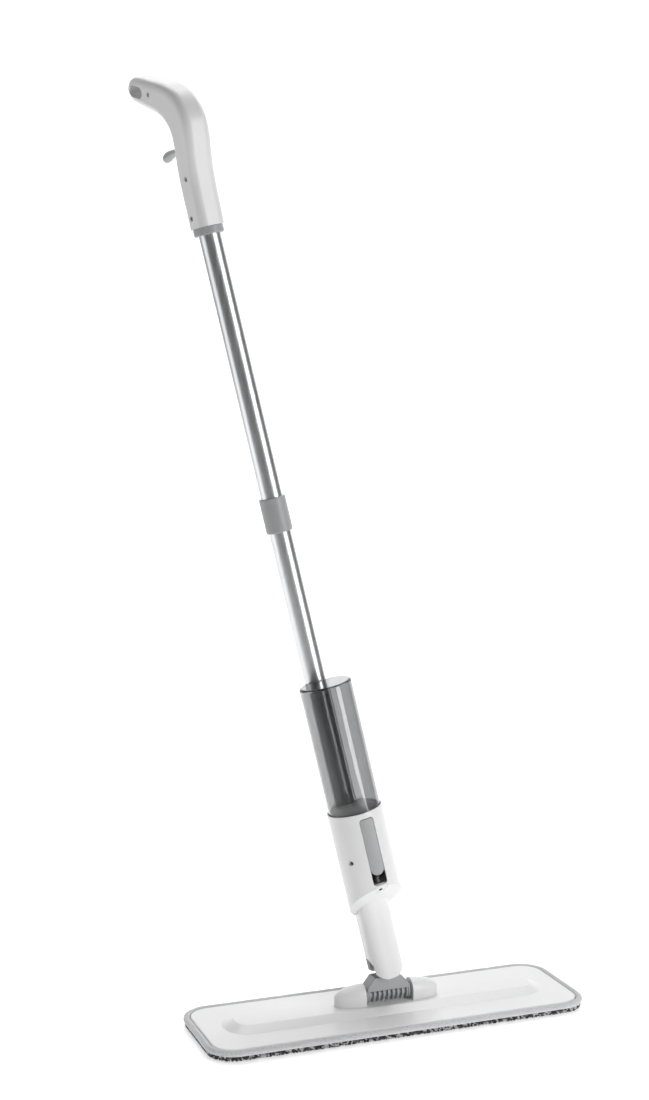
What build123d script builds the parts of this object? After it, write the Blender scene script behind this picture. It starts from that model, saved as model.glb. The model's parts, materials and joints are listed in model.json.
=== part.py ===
"""Spray flat mop: hinged head with a cloth pad, two-section pole, clear tank, trigger handle.

The mop stands on its pad with the pole leaning left and slightly back in its two head joints.
Origin: on the floor under the middle of the head hinge.  +X runs along the head, +Y is the back
of the mop, +Z is up.  Millimetres.
"""
from build123d import *
import os
from math import cos, radians, sin, tan

os.makedirs("parts", exist_ok=True)

# ---------------------------------------------------------------- driving dimensions
# head
plate_length, plate_depth, plate_corner = 420, 122.5, 24
rim_top = 12.0                  # top of the plate's edge above the floor
plate_underside = 8.5
ridge_length, ridge_depth, ridge_height = 372, 56, 6.0
pad_margin = 7.5                # how far the pad stands out past the plate
pad_thickness = 7.4
hinge_height = 27               # head hinge axis above the floor
hinge_pin_radius = 2.0
dome_length, dome_radius, dome_inner = 33, 12.5, 27.5

# rest pose of the two head joints
yoke_lean = 3                   # degrees back
pole_lean = 12.8                # degrees left

# yoke and swivel
swivel_rise = 27                # swivel pin above the hinge axis
swivel_reach = 40               # degrees the pole leans to each side of the yoke
swivel_pin_radius = 2.5
running_gap = 0.05              # radial clearance of every pin that turns
tongue_thickness = 9.0
rib_count, rib_pitch, rib_thickness = 9, 5.5, 1.8

# pole stations, measured up the pole from the swivel pin
neck_bottom, cutout_top, neck_joint = -7, 16, 66
housing_top = 188
tube_bottom = 96
coupler_bottom, coupler_top = 491, 528.5
collar_bottom, collar_top = 808.5, 816.5
tube_top = 842

# pole sections
pin_to_tube = 9                 # the tube runs this far behind the swivel pin
tube_radius, tube_wall = 11.65, 0.8
coupler_radius = 14.2
collar_radius = 15.9
neck_size, neck_corner, neck_wall = 36, 14, 2.6
tank_offset = 30                # tank axis this far in front of the tube axis
housing_radius, housing_wall = 30, 2.4
spine_radius = 14.5             # housing wall around the tube
tank_radius, tank_wall, tank_top = 28.3, 1.4, 327
tank_foot_radius = 24.5         # the part of the tank that stands in the housing is slimmer
tank_bottom, tank_mouth_bottom = 152, 139
groove_radius = 12.4            # channel down the tank's back that straddles the tube
bay_floor = 149                 # floor of the tank bay in the housing
mouth_depth = 5                 # the bay is wider this far down from its rim
shelf_thickness = 3
pump_bay_floor = 108
socket_radius = 14.3
pump_radius = 5.8
hose_passage = 21               # hoses pass this far in front of the tube axis

# release slider on the housing front
slot_width, slot_bottom, slot_top = 16, 108, 182
slot_depth = 4.2
slider_bottom, slider_thickness = 119, 2.4
slider_travel = 9

# handle
handle_twist = 12               # the grip turns this far about the pole
trigger_pivot = (-15, 899)      # back, up the pole
trigger_pin_radius = 1.5
trigger_swing = 18

# ---------------------------------------------------------------- frames
def turned(frame, degrees):
    """The frame turned about its own X, Y and Z axes."""
    return Plane(frame.location * Location((0, 0, 0), degrees))


yoke_frame = Plane(
    origin=(0, 0, hinge_height),
    x_dir=(1, 0, 0),
    z_dir=(0, sin(radians(yoke_lean)), cos(radians(yoke_lean))),
)
swivel_frame = turned(yoke_frame.offset(swivel_rise), (0, -pole_lean, 0))
pole_frame = Plane(
    origin=swivel_frame.from_local_coords((0, pin_to_tube, 0)),
    x_dir=swivel_frame.x_dir,
    z_dir=swivel_frame.z_dir,
)
handle_frame = turned(pole_frame, (0, 0, handle_twist))
handle_side = Plane(origin=handle_frame.origin, x_dir=handle_frame.y_dir, z_dir=handle_frame.x_dir)
pole_side = Plane(origin=pole_frame.origin, x_dir=pole_frame.y_dir, z_dir=pole_frame.x_dir)
yoke_front = Plane(origin=yoke_frame.origin, x_dir=yoke_frame.x_dir, z_dir=-yoke_frame.y_dir)
hinge_line = Plane(origin=yoke_frame.origin, x_dir=(0, 1, 0), z_dir=(1, 0, 0))


def across(frame, height, forward=0, side=0):
    """Plane square to a frame's axis, at a height up it and a distance in front of it."""
    origin = frame.from_local_coords((side, -forward, height))
    return Plane(origin=origin, x_dir=frame.x_dir, z_dir=frame.z_dir)


def coil_spring(frame, coil_radius, wire_radius, length, turns):
    """Open compression spring standing on a frame's origin."""
    with BuildPart() as spring:
        with BuildLine() as path:
            Helix(
                pitch=length / turns, height=length, radius=coil_radius,
                center=frame.origin, direction=frame.z_dir,
            )
        start = Plane(origin=path.line @ 0, z_dir=path.line % 0)
        with BuildSketch(start):
            Circle(wire_radius)
        sweep()
    return spring


def tube_piece(frame, bottom, top, outer, inner, forward=0):
    """Round tube or ring standing between two heights of a frame."""
    with BuildPart() as piece:
        with BuildSketch(across(frame, bottom, forward)):
            Circle(outer)
            if inner:
                Circle(inner, mode=Mode.SUBTRACT)
        extrude(amount=top - bottom)
    return piece


def screw(plane, shank_radius, length, head_radius, head_height):
    """Pan-head screw whose head starts at the plane and whose shank runs along its normal."""
    with BuildPart() as piece:
        with BuildSketch(plane):
            Circle(head_radius)
        extrude(amount=-head_height)
        with BuildSketch(plane):
            Circle(shank_radius)
        extrude(amount=length)
        with BuildSketch(plane.offset(-head_height)):
            Rectangle(head_radius * 1.3, 0.8)
            Rectangle(0.8, head_radius * 1.3)
        extrude(amount=head_height * 0.6, mode=Mode.SUBTRACT)
    return piece


# ---------------------------------------------------------------- head plate
screw_spots = [(x, y) for x in (-150, 0, 150) for y in (-34, 34)]
boss_radius, screw_radius = 4.0, 1.4
base_inset = 5.0                # the base plate sits this far inside the cover's edge
base_length, base_depth = plate_length - 2 * base_inset, plate_depth - 2 * base_inset
skin = 2.0

with BuildPart() as plate_cover:
    with BuildSketch(Plane.XY.offset(plate_underside)):
        RectangleRounded(plate_length, plate_depth, plate_corner)
    extrude(amount=rim_top - plate_underside)
    fillet(plate_cover.faces().sort_by(Axis.Z)[-1].edges(), 1.6)
    with BuildSketch(Plane.XY.offset(rim_top - 0.01)):
        RectangleRounded(ridge_length, ridge_depth, ridge_depth / 2 - 1)
    with BuildSketch(Plane.XY.offset(rim_top + ridge_height)):
        RectangleRounded(ridge_length - 26, ridge_depth - 22, ridge_depth / 2 - 12)
    loft()
    fillet(plate_cover.faces().sort_by(Axis.Z)[-1].edges(), 3.0)
    with BuildSketch(Plane.XY.offset(plate_underside)):
        RectangleRounded(base_length, base_depth, plate_corner - base_inset)
    extrude(amount=rim_top - plate_underside - 1.4, mode=Mode.SUBTRACT)
    with BuildSketch(Plane.XY.offset(plate_underside)):
        RectangleRounded(ridge_length - 34, ridge_depth - 28, ridge_depth / 2 - 16)
    extrude(amount=rim_top + ridge_height - skin - plate_underside, mode=Mode.SUBTRACT)

with BuildPart() as plate_base:
    with BuildSketch(Plane.XY.offset(plate_underside)):
        RectangleRounded(
            base_length - 0.4, base_depth - 0.4, plate_corner - base_inset - 0.2
        )
        with Locations(screw_spots):
            Circle(screw_radius + 0.2, mode=Mode.SUBTRACT)
    extrude(amount=rim_top - plate_underside - 1.4)
    with BuildSketch(Plane.XY.offset(rim_top - 1.4)):
        with GridLocations(60, 0, 5, 1):
            Rectangle(2, ridge_depth - 30)
    extrude(amount=4)

with BuildPart() as plate_screws:
    for x, y in screw_spots:
        with BuildSketch(Plane.XY.offset(plate_underside)):
            with Locations((x, y)):
                Circle(screw_radius)
        extrude(amount=2.0)

with BuildPart() as hook_strips:
    with BuildSketch(Plane.XY.offset(pad_thickness + 0.1)):
        with GridLocations(0, 66, 1, 2):
            RectangleRounded(360, 24, 3)
    extrude(amount=plate_underside - pad_thickness - 0.1)


def hinge_dome(side):
    """Half-egg boss that carries one end of the hinge pin: side is -1 left, +1 right."""
    middle = (side * dome_inner, 0, hinge_height)
    mouth = Plane(origin=middle, x_dir=(0, 1, 0), z_dir=(side, 0, 0))
    with BuildPart() as dome:
        with BuildSketch(Plane(origin=middle)):
            Ellipse(dome_length, dome_radius)
            with Locations((-side * dome_length, 0)):
                Rectangle(2 * dome_length, 2 * dome_length, mode=Mode.SUBTRACT)
        extrude(amount=-(hinge_height - rim_top - ridge_height + 0.6))
        with BuildSketch(Plane(origin=middle, x_dir=(1, 0, 0), z_dir=(0, -1, 0))):
            Ellipse(dome_length, dome_radius)
            with Locations((-side * dome_length, 0)):
                Rectangle(2 * dome_length, 2 * dome_length, mode=Mode.SUBTRACT)
            with Locations((0, -dome_length)):
                Rectangle(4 * dome_length, 2 * dome_length, mode=Mode.SUBTRACT)
        revolve(axis=Axis(middle, (1, 0, 0)), revolution_arc=360)
        split(bisect_by=Plane.XY.offset(rim_top + ridge_height), keep=Keep.TOP)
        with BuildSketch(mouth):
            Circle(hinge_pin_radius)
        extrude(amount=14, mode=Mode.SUBTRACT)
    return dome


dome_left, dome_right = hinge_dome(-1), hinge_dome(1)

with BuildPart() as hinge_pin:
    with BuildSketch(hinge_line.offset(-(dome_inner + 13))):
        Circle(hinge_pin_radius)
    extrude(amount=2 * (dome_inner + 13))

# ---------------------------------------------------------------- pad
pad_length, pad_depth = plate_length + 2 * pad_margin, plate_depth + 2 * pad_margin
pad_corner = plate_corner + pad_margin
with BuildPart() as pad:
    with BuildSketch(Plane.XY):
        RectangleRounded(pad_length - 3, pad_depth - 3, pad_corner - 1.5)
    extrude(amount=pad_thickness)
    fillet(pad.faces().sort_by(Axis.Z)[0].edges(), 2.5)

binding_gap = 0.4               # cloth edge to plate edge
with BuildPart() as pad_binding:
    with BuildSketch(Plane.XY.offset(pad_thickness)):
        RectangleRounded(pad_length, pad_depth, pad_corner)
        RectangleRounded(
            plate_length + 2 * binding_gap, plate_depth + 2 * binding_gap, plate_corner + binding_gap,
            mode=Mode.SUBTRACT,
        )
    extrude(amount=rim_top + 0.6 - pad_thickness)
    fillet(pad_binding.faces().sort_by(Axis.Z)[-1].edges(), 2.2)

# ---------------------------------------------------------------- yoke
yoke_depth = 19
shoulder_bottom, shoulder_top = 5, 19
with BuildPart() as yoke:
    with BuildSketch(yoke_front.offset(-yoke_depth / 2)):
        with BuildLine():
            Polyline(
                (-24.5, shoulder_bottom), (24.5, shoulder_bottom), (24.5, 8), (15.5, shoulder_top),
                (-15.5, shoulder_top), (-24.5, 8), close=True,
            )
        make_face()
    extrude(amount=yoke_depth)
    with BuildSketch(yoke_front.offset(-tongue_thickness / 2)):
        with Locations((0, (shoulder_top + swivel_rise) / 2 - 2)):
            Rectangle(17, swivel_rise - shoulder_top + 4)
        with Locations((0, swivel_rise)):
            Circle(8.5)
    extrude(amount=tongue_thickness)
    with BuildSketch(hinge_line.offset(-25)):
        Circle(6)
    extrude(amount=50)
    for i in range(rib_count):
        offset_x = (i - (rib_count - 1) / 2) * rib_pitch
        with BuildSketch(hinge_line.offset(offset_x - rib_thickness / 2)):
            Circle(8.6)
        extrude(amount=rib_thickness)
    for end in (-25.3, 23.5):
        with BuildSketch(hinge_line.offset(end)):
            Circle(8.7)
        extrude(amount=1.8)
    with BuildSketch(hinge_line.offset(-30)):
        Circle(hinge_pin_radius + running_gap)
    extrude(amount=60, mode=Mode.SUBTRACT)
    with BuildSketch(yoke_front.offset(-20)):
        with Locations((0, swivel_rise)):
            Circle(swivel_pin_radius + running_gap)
    extrude(amount=40, mode=Mode.SUBTRACT)

# ---------------------------------------------------------------- neck
swivel_front = Plane(origin=swivel_frame.origin, x_dir=swivel_frame.x_dir, z_dir=-swivel_frame.y_dir)
swivel_side = Plane(origin=swivel_frame.origin, x_dir=swivel_frame.y_dir, z_dir=swivel_frame.x_dir)

with BuildPart() as neck:
    with BuildSketch(across(swivel_frame, neck_bottom)):
        RectangleRounded(neck_size, neck_size, neck_corner)
    extrude(amount=neck_joint - neck_bottom)
    with BuildSketch(across(swivel_frame, neck_bottom)):
        RectangleRounded(neck_size - 2 * neck_wall, neck_size - 2 * neck_wall, neck_corner - neck_wall)
    extrude(amount=neck_joint - neck_bottom, mode=Mode.SUBTRACT)
    # side windows where the head's tongue shows
    with BuildSketch(swivel_side.offset(-neck_size)):
        with Locations((0, (cutout_top + neck_bottom) / 2 - 10)):
            Rectangle(22, cutout_top - neck_bottom + 20 - 10)
        with Locations((0, cutout_top - 11)):
            Circle(11)
    extrude(amount=2 * neck_size, mode=Mode.SUBTRACT)
    # rounded lower edge of the front and back cheeks
    with BuildSketch(swivel_front.offset(-neck_size)):
        with Locations((0, neck_bottom - 8)):
            Rectangle(60, 30)
        with Locations((0, neck_bottom + 20)):
            Circle(20.5, mode=Mode.SUBTRACT)
    extrude(amount=2 * neck_size, mode=Mode.SUBTRACT)

insert_gap = 0.15
insert_size = neck_size - 2 * neck_wall - 2 * insert_gap
with BuildPart() as neck_insert:
    with BuildSketch(across(swivel_frame, -5)):
        RectangleRounded(insert_size, insert_size, neck_corner - neck_wall - insert_gap)
    extrude(amount=40)
    # slot that the tongue swings in
    with BuildSketch(swivel_side.offset(-neck_size)):
        with Locations((0, 0)):
            Rectangle(tongue_thickness + 0.8, 2 * 10.5)
    extrude(amount=2 * neck_size, mode=Mode.SUBTRACT)
    # underside that slopes up to both sides, so that the pole can lean 40 degrees each way
    rise = 15.2 * tan(radians(swivel_reach))
    with BuildSketch(swivel_front.offset(-neck_size)):
        for side in (-1, 1):
            with BuildLine():
                Polyline((side * 4.8, -6), (side * 20, rise - 6), (side * 20, -6), close=True)
            make_face()
    extrude(amount=2 * neck_size, mode=Mode.SUBTRACT)
    with BuildSketch(swivel_front.offset(-neck_size)):
        Circle(swivel_pin_radius)
    extrude(amount=2 * neck_size, mode=Mode.SUBTRACT)

pin_length = insert_size - 1
with BuildPart() as swivel_pin:
    with BuildSketch(swivel_front.offset(-pin_length / 2)):
        Circle(swivel_pin_radius)
    extrude(amount=pin_length)

# ---------------------------------------------------------------- tank housing
def housing_section(spread):
    """Outline round the tank and the tube, grown or shrunk by spread."""
    with BuildSketch() as outline:
        with Locations((0, -tank_offset)):
            Circle(housing_radius + spread)
        Circle(spine_radius + spread)
        make_hull()
    return outline.sketch


underside_slope = 36            # the housing's underside rises to the front
underside = turned(across(pole_frame, 82, 27), (-underside_slope, 0, 0))
tank_front = Plane(
    origin=pole_frame.from_local_coords((0, -tank_offset, 0)), x_dir=pole_frame.x_dir, z_dir=-pole_frame.y_dir
)
sleeve_length = 20
nozzle_pocket_y, nozzle_block_length, nozzle_block_depth = -33, 15, 4
housing_screw_spot = (48, 137)

with BuildPart() as housing_body:
    with BuildSketch(across(pole_frame, neck_joint)):
        add(housing_section(0))
    extrude(amount=housing_top - neck_joint)
    split(bisect_by=underside, keep=Keep.TOP)
    with BuildSketch(across(pole_frame, neck_joint, pin_to_tube)):
        RectangleRounded(neck_size, neck_size, neck_corner)
    extrude(amount=24)
    # tank bay with a wider mouth, tube bore and pump bay
    with BuildSketch(across(pole_frame, bay_floor, tank_offset)):
        Circle(tank_foot_radius + 0.5)
    extrude(amount=housing_top, mode=Mode.SUBTRACT)
    with BuildSketch(across(pole_frame, housing_top - mouth_depth, tank_offset)):
        Circle(tank_radius + 0.5)
    extrude(amount=housing_top, mode=Mode.SUBTRACT)
    with BuildSketch(across(pole_frame, tube_bottom)):
        Circle(tube_radius)
    extrude(amount=housing_top, mode=Mode.SUBTRACT)
    with BuildSketch(across(pole_frame, pump_bay_floor, tank_offset)):
        Circle(housing_radius - housing_wall)
    extrude(amount=bay_floor - shelf_thickness - pump_bay_floor, mode=Mode.SUBTRACT)
    with BuildSketch(across(pole_frame, bay_floor - shelf_thickness - 1, tank_offset)):
        Circle(socket_radius)
    extrude(amount=shelf_thickness + 2, mode=Mode.SUBTRACT)
    # hollow sleeve over the neck, with the pump's passage and the hose passage above it
    with BuildSketch(across(pole_frame, neck_joint - 1, pin_to_tube)):
        RectangleRounded(neck_size - 2 * neck_wall, neck_size - 2 * neck_wall, neck_corner - neck_wall)
    extrude(amount=sleeve_length, mode=Mode.SUBTRACT)
    with BuildSketch(across(pole_frame, neck_joint)):
        Circle(pump_radius + 0.1)
    extrude(amount=tube_bottom + 1 - neck_joint, mode=Mode.SUBTRACT)
    with BuildSketch(across(pole_frame, neck_joint, hose_passage)):
        Rectangle(14, 8)
    extrude(amount=pump_bay_floor - neck_joint + 1, mode=Mode.SUBTRACT)
    # release slot in the front wall, open to the pump bay behind it
    with BuildSketch(tank_front.offset(housing_radius - slot_depth)):
        with Locations((0, (slot_bottom + slot_top) / 2)):
            RectangleRounded(slot_width, slot_top - slot_bottom, 3.5)
    extrude(amount=10, mode=Mode.SUBTRACT)
    # pocket for the nozzle block, and the nozzle's passage up to the pump bay
    with BuildSketch(underside.offset(-1)):
        with Locations((0, nozzle_pocket_y)):
            Trapezoid(slot_width, nozzle_block_length, 104, rotation=180)
    extrude(amount=1 + nozzle_block_depth, mode=Mode.SUBTRACT)
    with BuildSketch(underside):
        with Locations((0, nozzle_pocket_y)):
            Circle(2.6)
    extrude(amount=14, mode=Mode.SUBTRACT)
    # recessed hole for the side screw
    with BuildSketch(Plane(
        origin=pole_frame.from_local_coords((0, -housing_screw_spot[0], housing_screw_spot[1])),
        x_dir=pole_frame.y_dir, z_dir=-pole_frame.x_dir,
    )):
        Circle(2.6)
    extrude(amount=40, mode=Mode.SUBTRACT)

with BuildPart() as housing_left:
    add(housing_body.part)
    split(bisect_by=pole_side, keep=Keep.BOTTOM)

with BuildPart() as housing_right:
    add(housing_body.part)
    split(bisect_by=pole_side, keep=Keep.TOP)

screw_forward, screw_height = housing_screw_spot
housing_screw = screw(
    Plane(
        origin=pole_frame.from_local_coords((-16, -screw_forward, screw_height)),
        x_dir=pole_frame.y_dir, z_dir=pole_frame.x_dir,
    ),
    1.3, 8, 2.4, 1.6,
)

with BuildPart() as nozzle_block:
    with BuildSketch(underside.offset(0.2)):
        with Locations((0, nozzle_pocket_y)):
            Trapezoid(slot_width - 0.4, nozzle_block_length - 0.4, 104, rotation=180)
    extrude(amount=nozzle_block_depth - 0.2)
    with BuildSketch(underside.offset(-1)):
        with Locations((0, nozzle_pocket_y)):
            Circle(2.0)
    extrude(amount=1 + nozzle_block_depth, mode=Mode.SUBTRACT)

with BuildPart() as spray_nozzle:
    with BuildSketch(underside.offset(-0.5)):
        with Locations((0, nozzle_pocket_y)):
            Circle(1.95)
            Circle(0.5, mode=Mode.SUBTRACT)
    extrude(amount=nozzle_block_depth + 0.4)

# release slider with its thumb dish and the stem that meets the spring
slider_height = slot_top - 1 - slider_bottom
stem_bottom, stem_size = 137, 5
with BuildPart() as release_slider:
    with BuildSketch(tank_front.offset(housing_radius - slot_depth + 0.4)):
        with Locations((0, slider_bottom + slider_height / 2)):
            RectangleRounded(slot_width - 0.8, slider_height, 3.1)
        with Locations((0, slider_bottom + 4)):
            Rectangle(slot_width, 8, mode=Mode.SUBTRACT)
        with Locations((0, slider_bottom + 7.5)):
            Circle(7.5)
    extrude(amount=10)
    with BuildSketch(across(pole_frame, slider_bottom - 5, tank_offset)):
        Circle(housing_radius - 0.3)
    extrude(amount=slider_height + 10, mode=Mode.INTERSECT)
    with BuildSketch(tank_front.offset(housing_radius - 9)):
        with Locations((0, stem_bottom + stem_size / 2)):
            Rectangle(stem_size, stem_size)
    extrude(amount=6)

slider_spring = coil_spring(
    across(pole_frame, pump_bay_floor + 0.5, tank_offset + housing_radius - 6.5), 1.6, 0.3,
    stem_bottom - pump_bay_floor - 1, 7,
)

# ---------------------------------------------------------------- tank and its valve
with BuildPart() as tank:
    with BuildSketch(across(pole_frame, tank_bottom, tank_offset)):
        Circle(tank_foot_radius)
    extrude(amount=housing_top - mouth_depth - tank_bottom)
    with BuildSketch(across(pole_frame, housing_top - mouth_depth + 1, tank_offset)):
        Circle(tank_radius)
    extrude(amount=tank_top - housing_top + mouth_depth - 1)
    with BuildSketch(across(pole_frame, housing_top - mouth_depth - 1, tank_offset)):
        Circle(tank_foot_radius)
    extrude(amount=4)
    with BuildSketch(across(pole_frame, tank_bottom - 1)):
        Circle(groove_radius)
    extrude(amount=tank_top, mode=Mode.SUBTRACT)
    fillet(tank.faces().sort_by(Axis.Z)[-1].edges(), 3)
    with BuildSketch(across(pole_frame, tank_mouth_bottom, tank_offset)):
        Circle(8)
    extrude(amount=tank_bottom - tank_mouth_bottom)
    # hollow
    for radius, bottom, top in (
        (tank_foot_radius, tank_bottom + tank_wall, housing_top - mouth_depth + 3),
        (tank_radius, housing_top - mouth_depth + 1 + tank_wall, tank_top - tank_wall),
    ):
        with BuildSketch(across(pole_frame, bottom, tank_offset)):
            Circle(radius - tank_wall)
            with Locations((0, tank_offset)):
                Circle(groove_radius + tank_wall, mode=Mode.SUBTRACT)
        extrude(amount=top - bottom, mode=Mode.SUBTRACT)
    with BuildSketch(across(pole_frame, tank_mouth_bottom, tank_offset)):
        Circle(6.4)
    extrude(amount=tank_bottom + 3 - tank_mouth_bottom, mode=Mode.SUBTRACT)

with BuildPart() as tank_cap:
    with BuildSketch(across(pole_frame, 134, tank_offset)):
        Circle(10)
    extrude(amount=16)
    with BuildSketch(across(pole_frame, tank_mouth_bottom, tank_offset)):
        Circle(8.05)
    extrude(amount=20, mode=Mode.SUBTRACT)
    with BuildSketch(across(pole_frame, 133, tank_offset)):
        Circle(3)
    extrude(amount=10, mode=Mode.SUBTRACT)

with BuildPart() as tank_valve:
    with BuildSketch(across(pole_frame, tank_mouth_bottom + 0.1, tank_offset)):
        Circle(5)
    extrude(amount=1.5)
    with BuildSketch(across(pole_frame, 136.5, tank_offset)):
        Circle(2.6)
    extrude(amount=tank_mouth_bottom - 136)
valve_spring = coil_spring(across(pole_frame, tank_mouth_bottom + 2.6, tank_offset), 3.6, 0.35, 9, 4)

with BuildPart() as tank_socket:
    with BuildSketch(across(pole_frame, 126, tank_offset)):
        Circle(socket_radius - 0.1)
    extrude(amount=bay_floor - 126)
    with BuildSketch(across(pole_frame, bay_floor, tank_offset)):
        Circle(17)
    extrude(amount=1.5)
    with BuildSketch(across(pole_frame, 131, tank_offset)):
        Circle(10.6)
    extrude(amount=30, mode=Mode.SUBTRACT)
    with BuildSketch(across(pole_frame, 120, tank_offset)):
        Circle(2.4)
    extrude(amount=136.2 - 120)
    with BuildSketch(across(pole_frame, 119, tank_offset)):
        Circle(1.2)
    extrude(amount=30, mode=Mode.SUBTRACT)
socket_seal = tube_piece(pole_frame, 131.1, 133.7, 9.4, 3.6, tank_offset)

# ---------------------------------------------------------------- pump
pump_bottom, pump_top, pump_bore, piston_bottom = 48, 90, 4.4, 62
with BuildPart() as pump_body:
    with BuildSketch(across(pole_frame, pump_bottom)):
        Circle(pump_radius)
    extrude(amount=pump_top - pump_bottom)
    with BuildSketch(across(pole_frame, pump_bottom + 3)):
        Circle(pump_bore)
    extrude(amount=pump_top, mode=Mode.SUBTRACT)
    for height in (pump_bottom + 5, pump_bottom + 15):
        port = Plane(
            origin=pole_frame.from_local_coords((0, 0, height)),
            x_dir=pole_frame.x_dir, z_dir=-pole_frame.y_dir,
        )
        with BuildSketch(port.offset(pump_bore + 0.4)):
            Circle(2.2)
        extrude(amount=pump_radius + 4 - pump_bore - 0.4)
        with BuildSketch(port):
            Circle(1.1)
        extrude(amount=pump_radius + 5, mode=Mode.SUBTRACT)
pump_cap = tube_piece(pole_frame, pump_top - 4, pump_top, pump_bore, 1.6)

rod_radius, rod_top = 1.5, 901
with BuildPart() as pump_piston:
    with BuildSketch(across(pole_frame, piston_bottom)):
        Circle(pump_bore - 0.05)
    extrude(amount=5)
    with BuildSketch(across(pole_frame, piston_bottom + 2)):
        Circle(rod_radius)
    extrude(amount=6, mode=Mode.SUBTRACT)
pump_spring = coil_spring(
    across(pole_frame, piston_bottom + 5.6), 2.8, 0.4, pump_top - 4 - piston_bottom - 6.4, 6
)

with BuildPart() as pull_rod:
    with BuildSketch(across(pole_frame, piston_bottom + 2)):
        Circle(rod_radius)
    extrude(amount=rod_top - piston_bottom - 2)
    with BuildSketch(Plane(
        origin=handle_frame.from_local_coords((-4.2, 0, trigger_pivot[1])),
        x_dir=handle_frame.y_dir, z_dir=handle_frame.x_dir,
    )):
        Circle(1.3)
    extrude(amount=8.4)

with BuildPart() as rod_guides:
    for height in (200, 350, 650, 760):
        with BuildSketch(across(pole_frame, height)):
            Circle(tube_radius - tube_wall - 0.05)
            Circle(rod_radius + 0.25, mode=Mode.SUBTRACT)
        extrude(amount=4)


def hose(points, radius, bore):
    """Small hose through points given in the pole's frame."""
    spots = [pole_frame.from_local_coords(point) for point in points]
    with BuildPart() as piece:
        with BuildLine() as route:
            FilletPolyline(*spots, radius=3)
        with BuildSketch(Plane(origin=route.line @ 0, z_dir=route.line % 0)):
            Circle(radius)
            Circle(bore, mode=Mode.SUBTRACT)
        sweep()
    return piece


inlet_hose = hose([
    (0, -tank_offset, 119.8), (0, -tank_offset, 114), (-3.5, -hose_passage, 108.4), (-3.5, -hose_passage, 74),
    (0, -16.5, pump_bottom + 15), (0, -9.9, pump_bottom + 15),
], 1.8, 1.1)
outlet_hose = hose([
    (0, -9.9, pump_bottom + 5), (0, -15.5, pump_bottom + 5), (3.5, -hose_passage, 61),
    (3.5, -hose_passage, 110.6), (4, -33, 112.2), (1.5, -46, 113), (0, -50.6, 105.6),
], 1.8, 1.1)

# ---------------------------------------------------------------- pole
joint_height = 512
lower_tube = tube_piece(pole_frame, tube_bottom, joint_height, tube_radius, tube_radius - tube_wall)
upper_tube = tube_piece(pole_frame, joint_height + 0.3, tube_top, tube_radius, tube_radius - tube_wall)
coupler_plug = tube_piece(pole_frame, 470, 556, tube_radius - tube_wall - 0.02, 7.5)

with BuildPart() as tube_coupler:
    with BuildSketch(across(pole_frame, coupler_bottom)):
        Circle(coupler_radius)
    extrude(amount=coupler_top - coupler_bottom)
    fillet(tube_coupler.edges().filter_by(GeomType.CIRCLE), 1.2)
    with BuildSketch(across(pole_frame, coupler_bottom - 1)):
        Circle(tube_radius)
    extrude(amount=coupler_top, mode=Mode.SUBTRACT)

with BuildPart() as handle_collar:
    with BuildSketch(across(pole_frame, collar_bottom)):
        Circle(collar_radius)
    extrude(amount=collar_top - collar_bottom)
    fillet(handle_collar.edges().filter_by(GeomType.CIRCLE), 0.8)
    with BuildSketch(across(pole_frame, collar_bottom - 1)):
        Circle(tube_radius)
    extrude(amount=collar_top, mode=Mode.SUBTRACT)

# ---------------------------------------------------------------- handle
# side view of the grip: back of the mop, up the pole
grip_outline = [
    (-15.5, collar_top), (-17, 850), (-20.5, 878), (-26, 900), (-28.5, 920), (-20, 946), (0, 963.5),
    (30, 976.5), (52, 985), (68, 986.5), (76, 978), (73, 966), (61, 957.5), (43, 948), (20, 934),
    (9.5, 918), (9.5, 900), (13, 880), (15, 850), (15.5, collar_top),
]
grip_half_width, grip_rounding = 15.5, 9
side_wall, edge_wall = 3.0, 4.5
handle_screw_spots = [(2, 827.5), (-5.4, 867), (31, 962)]
handle_screw_seats = [13, 9, 9]    # distance of each head from the seam; the first bites the tube
hang_hole_spot, hang_hole_length, hang_hole_width, hang_hole_tilt = (55, 970.5), 25, 12, 22
pivot_boss_radius = 4


def inset(points, distance):
    """Inner points of a clockwise outline, moved in square to the line between their neighbours."""
    moved = []
    for before, spot, after in zip(points, points[1:], points[2:]):
        run = (Vector(*after) - Vector(*before)).normalized()
        moved.append((spot[0] + distance * run.Y, spot[1] - distance * run.X))
    return moved


def handle_hollow(side):
    """Space inside one half of the grip, without all that stands solid in it."""
    seam = handle_side.offset(-side)    # cuts start just past the seam
    with BuildPart() as hollow:
        with BuildSketch(seam):
            with BuildLine():
                edge = Spline(*inset(grip_outline, edge_wall))
                Line(edge @ 1, edge @ 0)
            make_face()
        extrude(amount=side * (grip_half_width - side_wall + 1))
        # walls of the hang hole, and the screw posts
        with BuildSketch(seam):
            with Locations(hang_hole_spot):
                SlotOverall(hang_hole_length + 5, hang_hole_width + 5, rotation=hang_hole_tilt)
            with Locations(handle_screw_spots[1:]):
                Circle(3.4)
        extrude(amount=side * 20, mode=Mode.SUBTRACT)
        # pivot post beside the trigger, and the ledge above its spring
        with BuildSketch(handle_side.offset(side * 5.8)):
            with Locations(trigger_pivot):
                Circle(pivot_boss_radius)
        extrude(amount=side * 14, mode=Mode.SUBTRACT)
        with BuildSketch(seam):
            with Locations((-8, 921)):
                Rectangle(17, 3)
        extrude(amount=side * 20, mode=Mode.SUBTRACT)
    return hollow.part


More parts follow.
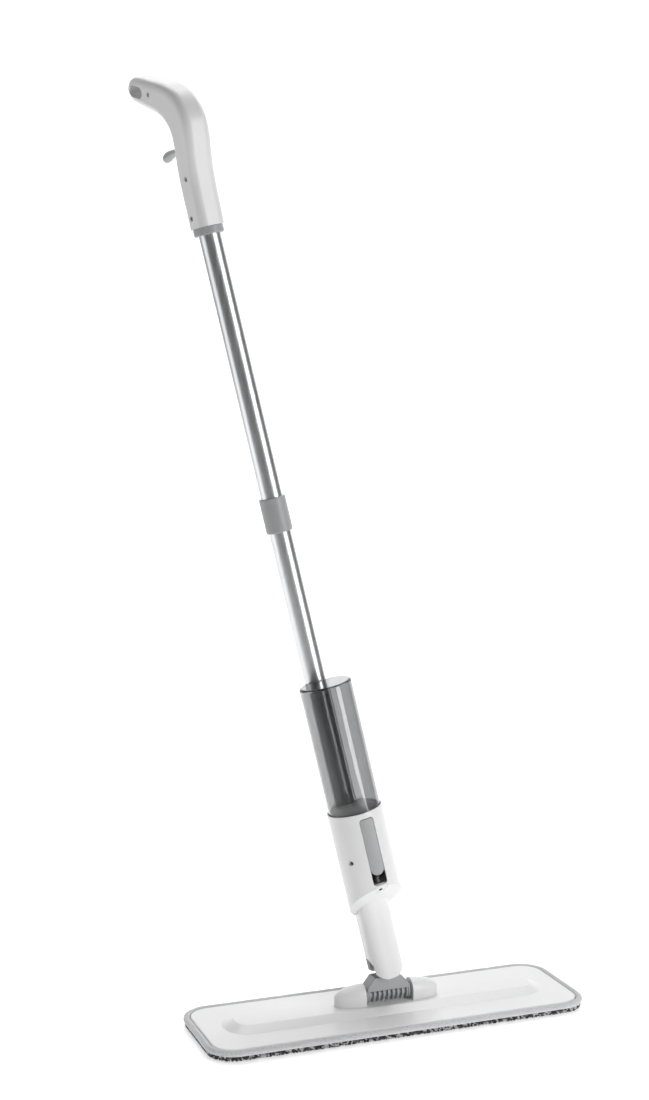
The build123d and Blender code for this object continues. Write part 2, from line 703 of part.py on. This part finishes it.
def handle_half(side, hollow):
    """One half of the grip: side is -1 left, +1 right."""
    seam = handle_side.offset(-side)
    with BuildPart() as half:
        with BuildSketch(handle_side):
            with BuildLine():
                edge = Spline(*grip_outline)
                Line(edge @ 1, edge @ 0)
            make_face()
        extrude(amount=side * grip_half_width)
        outer_face = half.faces().sort_by(Axis(handle_side.origin, side * handle_side.z_dir))[-1]
        fillet(outer_face.edges().sort_by(SortBy.LENGTH)[-1:], grip_rounding)
        add(hollow, mode=Mode.SUBTRACT)
        # bore for the tube and the rod's way up
        with BuildSketch(across(pole_frame, collar_top - 1)):
            Circle(tube_radius)
        extrude(amount=tube_top - collar_top + 1, mode=Mode.SUBTRACT)
        with BuildSketch(across(pole_frame, collar_top)):
            Circle(6)
        extrude(amount=tube_top - collar_top + 14, mode=Mode.SUBTRACT)
        with BuildSketch(seam):
            with Locations(hang_hole_spot):
                SlotOverall(hang_hole_length, hang_hole_width, rotation=hang_hole_tilt)
        extrude(amount=side * 30, mode=Mode.SUBTRACT)
        with BuildSketch(seam):
            with Locations(trigger_pivot):
                Circle(trigger_pin_radius)
        extrude(amount=side * 13, mode=Mode.SUBTRACT)
        with BuildSketch(seam):
            with Locations(handle_screw_spots):
                Circle(1.3)
        extrude(amount=side * (9 if side > 0 else 30), mode=Mode.SUBTRACT)
        if side < 0:
            for spot, seat in zip(handle_screw_spots, handle_screw_seats):
                with BuildSketch(handle_side.offset(-seat)):
                    with Locations(spot):
                        Circle(2.7)
                extrude(amount=-20, mode=Mode.SUBTRACT)
        # opening for the trigger in the back wall
        with BuildSketch(seam):
            with Locations((22, 904)):
                Rectangle(36, 22)
        extrude(amount=side * 6.8, mode=Mode.SUBTRACT)
    return half


handle_left = handle_half(-1, handle_hollow(-1))
handle_right = handle_half(1, handle_hollow(1))

handle_screw_list = [
    screw(
        Plane(
            origin=handle_side.from_local_coords((*spot, -seat)),
            x_dir=handle_side.x_dir, z_dir=handle_side.z_dir,
        ),
        1.25, length, 2.5, 1.8,
    )
    for spot, seat, length in zip(handle_screw_spots, handle_screw_seats, (4, 16, 16))
]
with BuildPart() as handle_screws:
    for single in handle_screw_list:
        add(single.part)

# ---------------------------------------------------------------- trigger
back, up = trigger_pivot
with BuildPart() as trigger:
    with BuildSketch(handle_side.offset(-5)):
        with BuildLine():
            l1 = Polyline((back - 2, up + 4.5), (14, up + 3.8), (34, up + 4.5), (48, up + 5.5))
            l2 = ThreePointArc(l1 @ 1, (55, up - 1), (48.5, up - 7))
            l3 = Spline(l2 @ 1, (40, up - 5.2), (30, up - 3.4), (14, up - 3.6))
            l4 = Line(l3 @ 1, (back - 2, up - 4.5))
            Line(l4 @ 1, l1 @ 0)
        make_face()
        with Locations(trigger_pivot):
            Circle(4.6)
    extrude(amount=10)
    with BuildSketch(handle_side.offset(-6)):
        with Locations(trigger_pivot):
            Circle(trigger_pin_radius + running_gap)
        with Locations((0.4, up)):
            RectangleRounded(5.4, 3.4, 1.5)
    extrude(amount=12, mode=Mode.SUBTRACT)
    with BuildSketch(across(handle_frame, up - 10)):
        Rectangle(4.2, 9)
    extrude(amount=20, mode=Mode.SUBTRACT)

with BuildPart() as trigger_pin:
    with BuildSketch(handle_side.offset(-12)):
        with Locations(trigger_pivot):
            Circle(trigger_pin_radius)
    extrude(amount=24)

trigger_spring = coil_spring(across(handle_frame, up + 4.8, 7.6), 2.4, 0.4, 14.4, 6)

# ---------------------------------------------------------------- export
pieces = {
    "plate_cover": plate_cover, "plate_base": plate_base, "plate_screws": plate_screws,
    "hook_strips": hook_strips, "dome_left": dome_left, "dome_right": dome_right, "hinge_pin": hinge_pin,
    "pad": pad, "pad_binding": pad_binding,
    "yoke": yoke, "neck": neck, "neck_insert": neck_insert, "swivel_pin": swivel_pin,
    "housing_left": housing_left, "housing_right": housing_right, "housing_screw": housing_screw,
    "nozzle_block": nozzle_block, "spray_nozzle": spray_nozzle,
    "release_slider": release_slider, "slider_spring": slider_spring,
    "tank": tank, "tank_cap": tank_cap, "tank_valve": tank_valve, "valve_spring": valve_spring,
    "tank_socket": tank_socket, "socket_seal": socket_seal,
    "pump_body": pump_body, "pump_cap": pump_cap, "pump_piston": pump_piston, "pump_spring": pump_spring,
    "pull_rod": pull_rod, "rod_guides": rod_guides, "inlet_hose": inlet_hose, "outlet_hose": outlet_hose,
    "lower_tube": lower_tube, "upper_tube": upper_tube, "tube_coupler": tube_coupler,
    "coupler_plug": coupler_plug, "handle_collar": handle_collar,
    "handle_left": handle_left, "handle_right": handle_right, "handle_screws": handle_screws,
    "trigger": trigger, "trigger_pin": trigger_pin, "trigger_spring": trigger_spring,
}
for name, piece in pieces.items():
    piece.part.label = name
    export_step(piece.part, f"parts/{name}.step")
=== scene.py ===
"""Studio scene of the spray flat mop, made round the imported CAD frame.

The CAD nodes keep their shapes and get their materials here. The cloth pad, its tape and the
trigger are replaced by finer pieces, and stitches and a tank floor are added. Units are metres.
"""
import json
import math
import random

import bmesh
import bpy
from mathutils import Euler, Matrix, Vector


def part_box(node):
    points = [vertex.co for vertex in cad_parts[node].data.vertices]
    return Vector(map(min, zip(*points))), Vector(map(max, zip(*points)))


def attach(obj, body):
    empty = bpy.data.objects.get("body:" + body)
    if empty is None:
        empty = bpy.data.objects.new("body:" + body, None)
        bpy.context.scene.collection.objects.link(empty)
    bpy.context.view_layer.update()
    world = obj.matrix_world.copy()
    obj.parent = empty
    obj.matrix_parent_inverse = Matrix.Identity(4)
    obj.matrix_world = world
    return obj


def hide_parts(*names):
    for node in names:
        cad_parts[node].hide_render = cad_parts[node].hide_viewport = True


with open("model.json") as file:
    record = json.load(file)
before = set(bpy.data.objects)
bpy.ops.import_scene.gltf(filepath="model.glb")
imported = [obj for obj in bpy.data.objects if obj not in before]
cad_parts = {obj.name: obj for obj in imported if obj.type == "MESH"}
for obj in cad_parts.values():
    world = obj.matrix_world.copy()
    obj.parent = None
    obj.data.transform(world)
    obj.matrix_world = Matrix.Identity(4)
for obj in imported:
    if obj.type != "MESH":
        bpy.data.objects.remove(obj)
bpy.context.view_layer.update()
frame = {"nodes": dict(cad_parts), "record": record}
nodes = frame["nodes"]
scene = bpy.context.scene
rng = random.Random(7)

# ---------------------------------------------------------------- camera
camera_dip, camera_yaw = math.radians(5.91), math.radians(20.63)
camera_data = bpy.data.cameras.new("camera")
camera_data.lens = 55.5
camera_data.sensor_width = 36
camera = bpy.data.objects.new("camera", camera_data)
scene.collection.objects.link(camera)
camera.location = (-0.694, -1.653, 0.697)
camera.rotation_euler = Euler((math.pi / 2 - camera_dip, 0, -camera_yaw), "XYZ")
scene.camera = camera

# level directions that the backdrop and the lamps are laid out by
stage_turn = math.radians(20.55)
ahead = Vector((math.sin(stage_turn), math.cos(stage_turn), 0))
right = Vector((ahead.y, -ahead.x, 0))


# ---------------------------------------------------------------- material helpers
def material(name, color, roughness, metallic=0.0, **sockets):
    """Principled material whose constant values sit on the shader's own sockets."""
    mat = bpy.data.materials.new(name)
    mat.use_nodes = True
    shader = mat.node_tree.nodes["Principled BSDF"]
    shader.inputs["Base Color"].default_value = (*color, 1)
    shader.inputs["Roughness"].default_value = roughness
    shader.inputs["Metallic"].default_value = metallic
    for key, value in sockets.items():
        shader.inputs[key.replace("_", " ")].default_value = value
    return mat


def coordinates(mat, scale=(1, 1, 1), rotation=(0, 0, 0)):
    """Object coordinates, turned and scaled."""
    tree = mat.node_tree
    place = tree.nodes.new("ShaderNodeTexCoord")
    mapping = tree.nodes.new("ShaderNodeMapping")
    mapping.inputs["Scale"].default_value = scale
    mapping.inputs["Rotation"].default_value = rotation
    tree.links.new(place.outputs["Object"], mapping.inputs["Vector"])
    return mapping.outputs["Vector"]


def noise(mat, vector, scale, detail=3.0):
    """Noise factor, mostly between 0.3 and 0.7."""
    node = mat.node_tree.nodes.new("ShaderNodeTexNoise")
    node.inputs["Scale"].default_value = scale
    node.inputs["Detail"].default_value = detail
    mat.node_tree.links.new(vector, node.inputs["Vector"])
    return node.outputs["Fac"]


def spread(mat, factor, lowest, highest, socket, start=0.3, end=0.7):
    """Drives a number socket between two values as the factor goes from start to end."""
    tree = mat.node_tree
    node = tree.nodes.new("ShaderNodeMapRange")
    node.inputs["From Min"].default_value = start
    node.inputs["From Max"].default_value = end
    node.inputs["To Min"].default_value = lowest
    node.inputs["To Max"].default_value = highest
    tree.links.new(factor, node.inputs["Value"])
    tree.links.new(node.outputs["Result"], tree.nodes["Principled BSDF"].inputs[socket])


def tint(mat, factor, dark_color, light_color, start=0.35, end=0.65):
    """Runs the base colour between two colours as the factor goes from start to end."""
    tree = mat.node_tree
    ramp = tree.nodes.new("ShaderNodeValToRGB")
    ramp.color_ramp.elements[0].position = start
    ramp.color_ramp.elements[0].color = (*dark_color, 1)
    ramp.color_ramp.elements[1].position = end
    ramp.color_ramp.elements[1].color = (*light_color, 1)
    tree.links.new(factor, ramp.inputs["Fac"])
    tree.links.new(ramp.outputs["Color"], tree.nodes["Principled BSDF"].inputs["Base Color"])


def bump(mat, factor, strength, distance):
    """Bumps the surface with a factor, by a distance in metres."""
    tree = mat.node_tree
    node = tree.nodes.new("ShaderNodeBump")
    node.inputs["Strength"].default_value = strength
    node.inputs["Distance"].default_value = distance
    tree.links.new(factor, node.inputs["Height"])
    tree.links.new(node.outputs["Normal"], tree.nodes["Principled BSDF"].inputs["Normal"])


# ---------------------------------------------------------------- frames of the pole and the grip
# the pole leans back and to the left of its hinges, and the grip is turned about the pole
lean_back, lean_left, grip_turn = math.radians(3), math.radians(12.8), math.radians(12)
hinge_height, hinge_to_swivel, swivel_to_pole = 0.027, 0.027, 0.009
yoke_up = Vector((0, math.sin(lean_back), math.cos(lean_back)))
pole_back = Vector((0, math.cos(lean_back), -math.sin(lean_back)))
pole_up = yoke_up * math.cos(lean_left) - Vector((math.sin(lean_left), 0, 0))
pole_right = pole_back.cross(pole_up)
pole_foot = Vector((0, 0, hinge_height)) + yoke_up * hinge_to_swivel + pole_back * swivel_to_pole
grip_right = pole_right * math.cos(grip_turn) + pole_back * math.sin(grip_turn)
grip_back = pole_back * math.cos(grip_turn) - pole_right * math.sin(grip_turn)


def on_pole(x, y, z):
    """Point given in millimetres to the right, back and up of the pole's foot."""
    return pole_foot + (pole_right * x + pole_back * y + pole_up * z) / 1000


def on_grip(x, y, z):
    """The same, with right and back turned with the grip."""
    return pole_foot + (grip_right * x + grip_back * y + pole_up * z) / 1000


# ---------------------------------------------------------------- materials
def moulded(name, color, roughness, grain=900.0, depth=0.00003):
    """Moulded plastic: faint flow shade, uneven gloss and a fine surface grain."""
    mat = material(name, color, roughness)
    flow = noise(mat, coordinates(mat), 5.0, 1.0)
    tint(mat, flow, tuple(c * 0.985 for c in color), color, 0.2, 0.8)
    spread(mat, flow, roughness * 0.94, roughness * 1.06, "Roughness")
    bump(mat, noise(mat, coordinates(mat), grain, 2.0), 0.25, depth)
    return mat


def brushed_steel():
    """Tube steel, with fine draw lines along the pole."""
    mat = material("polished_tube", (0.66, 0.67, 0.68), 0.27, metallic=1.0)
    lines = noise(mat, coordinates(mat, (700, 700, 6), (-lean_back, lean_left, 0)), 1.0, 4.0)
    tint(mat, lines, (0.68, 0.69, 0.70), (0.72, 0.73, 0.74))
    spread(mat, lines, 0.30, 0.38, "Roughness")
    bump(mat, lines, 0.03, 0.00001)
    return mat


def spring_steel():
    """Wire, pins and screws."""
    mat = material("steel_wire", (0.55, 0.56, 0.58), 0.28, metallic=1.0)
    spread(mat, noise(mat, coordinates(mat), 600.0), 0.2, 0.38, "Roughness")
    return mat


def clear_plastic():
    """Smoky clear tank wall, slightly wavy as blown plastic is."""
    mat = material("clear_plastic", (0.50, 0.505, 0.51), 0.03, IOR=1.46, Transmission_Weight=1.0)
    spread(mat, noise(mat, coordinates(mat), 40.0), 0.015, 0.05, "Roughness")
    bump(mat, noise(mat, coordinates(mat), 60.0), 0.05, 0.0004)
    return mat


def tape_cloth():
    """Coarse grey weave of the binding tape."""
    mat = material("binding_cloth", (0.42, 0.42, 0.43), 0.9, Sheen_Weight=0.3)
    weave = noise(mat, coordinates(mat), 1500.0, 1.0)
    tint(mat, weave, (0.42, 0.42, 0.43), (0.72, 0.72, 0.73))
    bump(mat, weave, 0.8, 0.0004)
    return mat


def yarn(name, dark_color, light_color):
    """Fuzzy microfibre yarn."""
    mat = material(name, light_color, 0.95, Sheen_Weight=0.4)
    fibre = noise(mat, coordinates(mat), 1800.0, 2.0)
    tint(mat, fibre, dark_color, light_color)
    bump(mat, fibre, 1.0, 0.0005)
    return mat


white = moulded("white_gloss", (0.80, 0.80, 0.805), 0.3)
grey = moulded("grey_satin", (0.38, 0.385, 0.39), 0.42, grain=1400, depth=0.00006)
dark = moulded("dark_matte", (0.05, 0.05, 0.052), 0.5)
rubber = moulded("soft_rubber", (0.35, 0.35, 0.34), 0.6)
steel = brushed_steel()
wire = spring_steel()
clear = clear_plastic()
binding_cloth = tape_cloth()
backing = yarn("pad_backing", (0.03, 0.03, 0.03), (0.10, 0.10, 0.10))
yarn_dark = yarn("yarn_dark", (0.008, 0.008, 0.009), (0.03, 0.03, 0.032))
yarn_mid = yarn("yarn_mid", (0.12, 0.12, 0.12), (0.22, 0.22, 0.22))
yarn_light = yarn("yarn_light", (0.42, 0.42, 0.42), (0.68, 0.68, 0.68))

by_slot = {
    "white_shell": white, "grey_plastic": grey, "dark_plastic": dark, "steel_tube": steel,
    "steel_wire": wire, "clear_tank": clear, "chenille": backing, "binding_cloth": binding_cloth,
    "hook_fabric": dark, "seal_rubber": rubber,
}
for part in frame["record"]["subparts"]:
    node = nodes[part["node"]]
    chosen = by_slot[part["material_slot"]]
    if not node.material_slots:
        node.data.materials.append(chosen)
    for place in node.material_slots:
        place.material = chosen


# ---------------------------------------------------------------- mesh helpers
def link(name, mesh, body):
    """New piece that rides on a body."""
    piece = bpy.data.objects.new(name, mesh)
    scene.collection.objects.link(piece)
    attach(piece, body)
    return piece


def smooth_closed(mesh):
    """Smooth shading, with every face turned outwards."""
    for face in mesh.polygons:
        face.use_smooth = True
    bm = bmesh.new()
    bm.from_mesh(mesh)
    bmesh.ops.recalc_face_normals(bm, faces=bm.faces)
    bm.to_mesh(mesh)
    bm.free()


def rounded_loop(half_x, half_y, corner, step):
    """Points and outward directions round a rounded rectangle, anticlockwise from the right."""
    spots = []
    for side_x, side_y, start in ((1, 1, 0), (-1, 1, 90), (-1, -1, 180), (1, -1, 270)):
        centre = Vector((side_x * (half_x - corner), side_y * (half_y - corner), 0))
        count = max(4, round(corner * math.pi / 2 / step))
        for i in range(count + 1):
            turn = math.radians(start + 90 * i / count)
            out = Vector((math.cos(turn), math.sin(turn), 0))
            spots.append((centre + out * corner, out))
    loop = []
    for (spot, out), (after, out_after) in zip(spots, spots[1:] + spots[:1]):
        loop.append((spot, out))
        parts = int((after - spot).length / step)
        if (out - out_after).length < 1e-6:
            for k in range(1, parts):
                loop.append((spot.lerp(after, k / parts), out))
    return loop


def swept(name, loop, profile, mat):
    """Closed ring made by carrying a profile of (outward, up) offsets round a loop."""
    verts = [spot + out * u + Vector((0, 0, v)) for spot, out in loop for u, v in profile]
    n, m = len(loop), len(profile)
    faces = []
    for i in range(n):
        here, there = i * m, (i + 1) % n * m
        for j in range(m):
            beside = (j + 1) % m
            faces.append((here + j, there + j, there + beside, here + beside))
    mesh = bpy.data.meshes.new(name)
    mesh.from_pydata([tuple(v) for v in verts], [], faces)
    mesh.materials.append(mat)
    smooth_closed(mesh)
    return mesh


def stacked(name, rings):
    """Closed skin through rings of points, capped at both ends."""
    m = len(rings[0])
    verts = [tuple(p) for ring in rings for p in ring]
    faces = [
        (r * m + k, r * m + (k + 1) % m, (r + 1) * m + (k + 1) % m, (r + 1) * m + k)
        for r in range(len(rings) - 1) for k in range(m)
    ]
    faces += [tuple(reversed(range(m))), tuple(range((len(rings) - 1) * m, len(rings) * m))]
    mesh = bpy.data.meshes.new(name)
    mesh.from_pydata(verts, [], faces)
    return mesh


def noodle(bm, base, tip, radius, index, roll=0.0):
    """Plump tapered finger from base to tip, sagging slightly in the middle."""
    sides, sag = 7, 0.0004
    axis = tip - base
    axis.normalize()
    side = axis.orthogonal().normalized()
    other = axis.cross(side)
    rings = []
    for t, girth in ((0.0, 0.55), (0.18, 0.92), (0.5, 1.0), (0.8, 0.86), (0.96, 0.45)):
        centre = base.lerp(tip, t) + Vector((0, 0, -sag * math.sin(math.pi * t)))
        ring = []
        for k in range(sides):
            turn = 2 * math.pi * k / sides + roll
            spoke = side * math.cos(turn) + other * math.sin(turn)
            ring.append(bm.verts.new(centre + spoke * radius * girth))
        rings.append(ring)
    skin = []
    for a, b in zip(rings, rings[1:]):
        skin += [(a[k], a[(k + 1) % sides], b[(k + 1) % sides], b[k]) for k in range(sides)]
    skin += [tuple(reversed(rings[0])), tuple(rings[-1])]
    for corners in skin:
        face = bm.faces.new(corners)
        face.material_index = index
        face.smooth = True


# ---------------------------------------------------------------- cloth pad
# half the pad's length and width over its tape, and the radius of its corners
tape_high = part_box("pad_binding")[1]
pad_x, pad_y, pad_corner = tape_high.x, tape_high.y, 0.0315
tape_top, tape_under = tape_high.z, 0.0062
tape_width = pad_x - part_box("plate_cover")[1].x - 0.0004


def tape_mesh():
    """Rolled tape round the plate: fat, and slightly uneven along its top."""
    sides, squareness = 14, 0.8
    half_width, half_height = tape_width / 2, (tape_top - tape_under) / 2
    profile = []
    for k in range(sides):
        turn = 2 * math.pi * k / sides
        c, s = math.cos(turn), math.sin(turn)
        profile.append((
            -half_width + half_width * math.copysign(abs(c) ** squareness, c),
            tape_under + half_height + half_height * math.copysign(abs(s) ** squareness, s),
        ))
    mesh = swept("tape", rounded_loop(pad_x, pad_y, pad_corner, 0.003), profile, binding_cloth)
    for i, vertex in enumerate(mesh.vertices):
        along = i // sides
        wave = math.sin(along * 0.9) * 0.00012 + math.sin(along * 0.37 + 1.3) * 0.0002
        if vertex.co.z > tape_under + 0.0028:
            vertex.co.z += min(wave, 0.0)
        vertex.co.z = min(vertex.co.z, tape_top)
    return mesh


def stitch_mesh():
    """Row of short stitches along the tape's inner edge."""
    length, inset = 0.0024, tape_width - 0.0012
    bm = bmesh.new()
    for spot, out in rounded_loop(pad_x - inset, pad_y - inset, pad_corner - inset, 0.0042):
        tangent = Vector((-out.y, out.x, 0))
        base = spot - tangent * length / 2 + Vector((0, 0, tape_top - 0.0012))
        noodle(bm, base, base + tangent * length, 0.0004, 0)
    mesh = bpy.data.meshes.new("stitches")
    bm.to_mesh(mesh)
    bm.free()
    mesh.materials.append(yarn_light)
    return mesh


# material numbers of the dark, mid and light yarn in the pile, and how often each is drawn
yarn_numbers, yarn_shares = (1, 2, 3), (0.5, 0.14, 0.36)


def backing_rings():
    """Rings up the edge of the backing slab that the pile grows from."""
    edge = [(-0.010, 0.0022), (-0.0055, 0.0030), (-0.0040, 0.0045), (-0.0038, 0.0070)]
    loop = rounded_loop(pad_x, pad_y, pad_corner, 0.006)
    return [[spot + out * u + Vector((0, 0, v)) for spot, out in loop] for u, v in edge]


def edge_pile(bm):
    """Four staggered rows of noodles round the pad's edge, pointing outwards and down."""
    clearance = 0.0001
    rows = (  # inset from the edge, height, drop and reach
        (0.0044, 0.0063, 0.0014, 0.0028), (0.0050, 0.0048, 0.0016, 0.0034),
        (0.0062, 0.0032, 0.0014, 0.0040), (0.0090, 0.0018, 0.0004, 0.0034),
    )
    around = rounded_loop(pad_x, pad_y, pad_corner, 0.0026)
    for row, (inset, height, drop, reach) in enumerate(rows):
        stagger = 0.0013 if row % 2 else 0
        for spot, out in around:
            tangent = Vector((-out.y, out.x, 0))
            jitter = rng.uniform(-0.0006, 0.0006)
            swing = rng.uniform(0.0008, 0.0026)
            base = spot - out * inset + tangent * (jitter + stagger) + Vector((0, 0, height))
            tip = base + out * reach + tangent * swing - Vector((0, 0, drop))
            radius = rng.uniform(0.0008, 0.00115)
            tip.z = max(tip.z, radius + clearance)
            base.z = max(base.z, radius + clearance)
            index = rng.choices(yarn_numbers, yarn_shares)[0]
            noodle(bm, base, tip, radius, index, rng.uniform(0, 1))


def under_pile(bm):
    """Rows of noodles under the slab, lying in all directions."""
    rows, columns, reach, radius = 24, 66, 0.0035, 0.00165
    half_x, half_y, inset = pad_x - 0.014, pad_y - 0.012, 0.012
    for row in range(rows):
        y = (row + 0.5) / rows * 2 * half_y - half_y
        for column in range(columns):
            x = (column + 0.5) / columns * 2 * half_x - half_x
            over_x, over_y = abs(x) - (pad_x - pad_corner), abs(y) - (pad_y - pad_corner)
            if over_x > 0 and over_y > 0 and math.hypot(over_x, over_y) > pad_corner - inset:
                continue
            base = Vector((x + rng.uniform(-0.001, 0.001), y + rng.uniform(-0.001, 0.001), 0.0020))
            swing = rng.uniform(0, 2 * math.pi)
            tip = base + Vector((math.cos(swing) * reach, math.sin(swing) * reach, -0.0003))
            noodle(bm, base, tip, radius, rng.choices(yarn_numbers, yarn_shares)[0])


def pile_mesh():
    """Chenille pile on its backing slab, lifted so that nothing is below the floor."""
    bm = bmesh.new()
    bm.from_mesh(stacked("slab", backing_rings()))
    edge_pile(bm)
    under_pile(bm)
    sunk = min(0, min(v.co.z for v in bm.verts))
    for v in bm.verts:
        v.co.z = max(v.co.z - sunk, 0.0)
    mesh = bpy.data.meshes.new("pile")
    bm.to_mesh(mesh)
    bm.free()
    for mat in (backing, yarn_dark, yarn_mid, yarn_light):
        mesh.materials.append(mat)
    return mesh


tape = link("binding_tape", tape_mesh(), "head")
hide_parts("pad_binding")
pile = link("chenille_pad", pile_mesh(), "head")
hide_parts("pad")
link("tape_stitches", stitch_mesh(), "head")


# ---------------------------------------------------------------- tank floor
def tank_ring(radius, groove, height):
    """Round section of the tank, cut back where the groove for the pole runs through it."""
    sides, tank_forward = 72, 30
    ring = []
    for k in range(sides):
        turn = 2 * math.pi * k / sides
        x, y = radius * math.cos(turn), -tank_forward + radius * math.sin(turn)
        reach = math.hypot(x, y)
        if reach < groove:
            x = x * groove / reach
            y = -math.sqrt(max(groove ** 2 - x ** 2, 0))
        ring.append(on_pole(x, y, height))
    return ring


floor_mesh = stacked("tank_floor", [
    tank_ring(25.6, 15.0, 186.6), tank_ring(26.3, 14.6, 187.0),
    tank_ring(26.3, 14.6, 188.6), tank_ring(25.4, 15.2, 189.2),
])
floor_mesh.materials.append(white)
smooth_closed(floor_mesh)
link("tank_floor", floor_mesh, "tank")


# ---------------------------------------------------------------- trigger
def lever_ring(back, up, half_up, half_wide):
    """Oval section of the trigger, in millimetres of the grip's frame: middle and half sizes."""
    sides = 28
    ring = []
    for k in range(sides):
        turn = 2 * math.pi * k / sides
        ring.append(on_grip(half_wide * math.cos(turn), back, up + half_up * math.sin(turn)))
    return ring


# from the hub round the pin, inside the grip, to the thicker finger end behind the grip
lever_sections = (
    (-19.2, 899.0, 1.6, 2.6), (-18.4, 899.0, 3.4, 4.4), (-15, 899.0, 4.5, 4.9), (-6, 899.1, 4.4, 4.9),
    (6, 899.2, 4.0, 4.7), (18, 899.4, 3.5, 4.4), (28, 899.7, 3.5, 4.5), (36, 899.7, 4.3, 4.9),
    (42, 899.2, 5.2, 5.2), (47, 898.4, 5.7, 5.2), (51, 897.8, 5.2, 4.7), (53.8, 897.2, 3.6, 3.4),
    (54.8, 897.0, 1.6, 1.6),
)
lever_mesh = stacked("trigger_lever", [lever_ring(*section) for section in lever_sections])
lever_mesh.materials.append(grey)
smooth_closed(lever_mesh)
lever = link("trigger_lever", lever_mesh, "trigger")
rounding = lever.modifiers.new("smooth", "SUBSURF")
rounding.levels = rounding.render_levels = 1
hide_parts("trigger")


# ---------------------------------------------------------------- studio
def studio_paper():
    """White paper that glows under and behind the mop, and fades to plain paper in front."""
    mat = material("backdrop", (0.90, 0.90, 0.90), 0.85, Emission_Color=(1, 1, 1, 1))
    tint(mat, noise(mat, coordinates(mat), 30.0), (0.89, 0.89, 0.89), (0.91, 0.91, 0.91))
    depth = mat.node_tree.nodes.new("ShaderNodeSeparateXYZ")
    level = coordinates(mat, rotation=(0, 0, stage_turn))
    mat.node_tree.links.new(level, depth.inputs["Vector"])
    spread(mat, depth.outputs["Y"], 0.0, 0.5, "Emission Strength", start=-0.75, end=-0.30)
    return mat


def backdrop_mesh():
    """Sheet of floor that curves up into a wall behind the mop."""
    floor_end, bend, wall_top, half_width, steps = 1.6, 0.7, 3.2, 2.6, 12
    profile = [(-4.0, 0), (floor_end, 0)]
    for k in range(1, steps + 1):
        turn = math.pi / 2 * k / steps
        profile.append((floor_end + bend * math.sin(turn), bend - bend * math.cos(turn)))
    profile.append((floor_end + bend, wall_top))
    verts = []
    for distance, height in profile:
        for side in (-half_width, half_width):
            spot = ahead * distance + right * side
            verts.append((spot.x, spot.y, height))
    faces = [(2 * i, 2 * i + 1, 2 * i + 3, 2 * i + 2) for i in range(len(profile) - 1)]
    mesh = bpy.data.meshes.new("backdrop")
    mesh.from_pydata(verts, [], faces)
    mesh.materials.append(studio_paper())
    for face in mesh.polygons:
        face.use_smooth = True
    return mesh


backdrop = bpy.data.objects.new("backdrop", backdrop_mesh())
scene.collection.objects.link(backdrop)

world = bpy.data.worlds.new("studio")
scene.world = world
world.use_nodes = True
world.node_tree.nodes["Background"].inputs["Color"].default_value = (1, 1, 1, 1)
world.node_tree.nodes["Background"].inputs["Strength"].default_value = 0.10
scene.view_settings.view_transform = "Standard"


def softbox(name, spot, target, width, height, watts):
    """Rectangular area lamp at a spot, aimed at a target."""
    light = bpy.data.lights.new(name, "AREA")
    light.shape = "RECTANGLE"
    light.size, light.size_y = width, height
    light.energy = watts
    lamp = bpy.data.objects.new(name, light)
    scene.collection.objects.link(lamp)
    lamp.location = spot
    lamp.rotation_euler = (Vector(target) - Vector(spot)).to_track_quat("-Z", "Y").to_euler()


def around_object(angle, distance, height):
    """A spot at an angle in degrees to the right of the camera, seen from the object."""
    turn = math.radians(angle)
    spot = -ahead * math.cos(turn) * distance + right * math.sin(turn) * distance
    return (spot.x, spot.y, height)


pole_middle, head_middle = (-0.1, 0.03, 0.5), (0.0, 0.0, 0.0)
softbox("key", around_object(53, 2.1, 0.9), pole_middle, 0.7, 2.2, 31)
softbox("fill", around_object(-82, 1.7, 0.8), pole_middle, 1.3, 2.2, 10)
softbox("top", around_object(175, 0.9, 2.4), head_middle, 2.4, 1.6, 21)
softbox("wall", around_object(170, 0.9, 2.9), around_object(180, 2.2, 0.9), 2.6, 0.8, 24)
